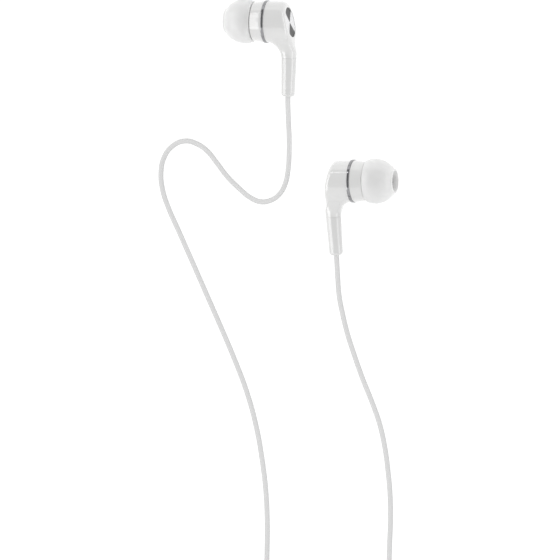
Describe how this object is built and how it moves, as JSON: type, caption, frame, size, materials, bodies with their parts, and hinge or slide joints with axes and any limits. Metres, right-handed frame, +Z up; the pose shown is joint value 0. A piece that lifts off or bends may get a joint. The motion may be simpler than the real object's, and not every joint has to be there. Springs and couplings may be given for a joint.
{
  "type": "wired earphones",
  "caption": "Wired in-ear earphones with angled stems, soft ear tips and bright trim rings, on thin cords that join into one cord with a straight audio plug; the spare cord is stored in coils.",
  "frame": {"origin": "on the table, under the middle of the box round the two buds", "axes": "+Z up from the table; +Y from the cords towards the buds; +X towards the right bud's ear tip"},
  "size_m": [0.0708, 0.2436, 0.0124],
  "materials": {
    "gloss_white": "glossy moulded shell",
    "soft_white": "soft, satin moulding",
    "silicone": "matte, slightly cloudy silicone",
    "bright_ring": "polished",
    "spun_disc": "spun, with fine circular lines",
    "woven_mesh": "fine grille",
    "plain_steel": "pressed steel",
    "plated_magnet": "nickel plated",
    "copper": "enamelled copper wire",
    "clear_film": "thin formed film",
    "green_board": "solder-masked board",
    "black_felt": "thin felt",
    "black_plastic": "moulded",
    "insert_plastic": "moulded",
    "cord_jacket": "smooth soft jacket",
    "tie_strip": "flat strip",
    "gold_plate": "gold plated, polished"
  },
  "bodies": {
    "harness": {"left_cord": "cord_jacket", "left_cord_coil": "cord_jacket", "right_cord": "cord_jacket", "right_cord_coil": "cord_jacket", "branch_coil_tie": "tie_strip", "y_splitter": "soft_white", "splitter_crimp": "plain_steel", "main_cord": "cord_jacket", "main_cord_coil": "cord_jacket", "main_coil_tie": "tie_strip", "plug_grip": "soft_white", "plug_core": "insert_plastic", "plug_sleeve": "gold_plate", "plug_insulators": "black_plastic", "plug_ring_contact": "gold_plate", "plug_tip_contact": "gold_plate"},
    "slider": {"cord_slider": "soft_white"},
    "left_bud": {"left_nozzle_housing": "gloss_white", "left_trim_ring": "bright_ring", "left_rear_housing": "gloss_white", "left_back_disc": "spun_disc", "left_nozzle_mesh": "woven_mesh", "left_driver_frame": "black_plastic", "left_driver_yoke": "plain_steel", "left_driver_magnet": "plated_magnet", "left_driver_pole_plate": "plain_steel", "left_driver_cover": "plain_steel", "left_diaphragm_surround": "clear_film", "left_terminal_board": "green_board", "left_vent_felt": "black_felt", "left_strain_relief": "soft_white", "left_knotted_end": "cord_jacket", "left_lead_wires": "copper"},
    "left_tip": {"left_ear_tip": "silicone"},
    "left_voice_unit": {"left_voice_coil": "copper", "left_diaphragm_dome": "clear_film"},
    "right_bud": {"right_nozzle_housing": "gloss_white", "right_trim_ring": "bright_ring", "right_rear_housing": "gloss_white", "right_back_disc": "spun_disc", "right_nozzle_mesh": "woven_mesh", "right_driver_frame": "black_plastic", "right_driver_yoke": "plain_steel", "right_driver_magnet": "plated_magnet", "right_driver_pole_plate": "plain_steel", "right_driver_cover": "plain_steel", "right_diaphragm_surround": "clear_film", "right_terminal_board": "green_board", "right_vent_felt": "black_felt", "right_strain_relief": "soft_white", "right_knotted_end": "cord_jacket", "right_lead_wires": "copper"},
    "right_tip": {"right_ear_tip": "silicone"},
    "right_voice_unit": {"right_voice_coil": "copper", "right_diaphragm_dome": "clear_film"}
  },
  "joints": [
    {"name": "left_relief_flex", "type": "hinge", "parent": "harness", "child": "left_bud", "pos_m": [-0.00763, 0.00879, 0.00177], "axis": [0, 0, 1], "range_deg": [-20, 20], "stiffness_Nm_per_rad": 0.002},
    {"name": "left_tip_pull", "type": "slide", "parent": "left_bud", "child": "left_tip", "axis": [-0.9982, 0.0488, 0.0349], "range_m": [0, 0.0065]},
    {"name": "left_voice_drive", "type": "slide", "parent": "left_bud", "child": "left_voice_unit", "axis": [-0.9982, 0.0488, 0.0349], "range_m": [-0.00015, 0.00015], "stiffness_N_per_m": 100, "deforming": ["left_diaphragm_surround"]},
    {"name": "right_relief_flex", "type": "hinge", "parent": "harness", "child": "right_bud", "pos_m": [0.00637, -0.03545, 0.00177], "axis": [0, 0, 1], "range_deg": [-20, 20], "stiffness_Nm_per_rad": 0.002},
    {"name": "right_tip_pull", "type": "slide", "parent": "right_bud", "child": "right_tip", "axis": [0.9993, -0.0157, 0.0349], "range_m": [0, 0.0065]},
    {"name": "right_voice_drive", "type": "slide", "parent": "right_bud", "child": "right_voice_unit", "axis": [0.9993, -0.0157, 0.0349], "range_m": [-0.00015, 0.00015], "stiffness_N_per_m": 100, "deforming": ["right_diaphragm_surround"]},
    {"name": "slider_run", "type": "slide", "parent": "harness", "child": "slider", "axis": [0, 1, 0], "range_m": [0, 0.012]}
  ]
}
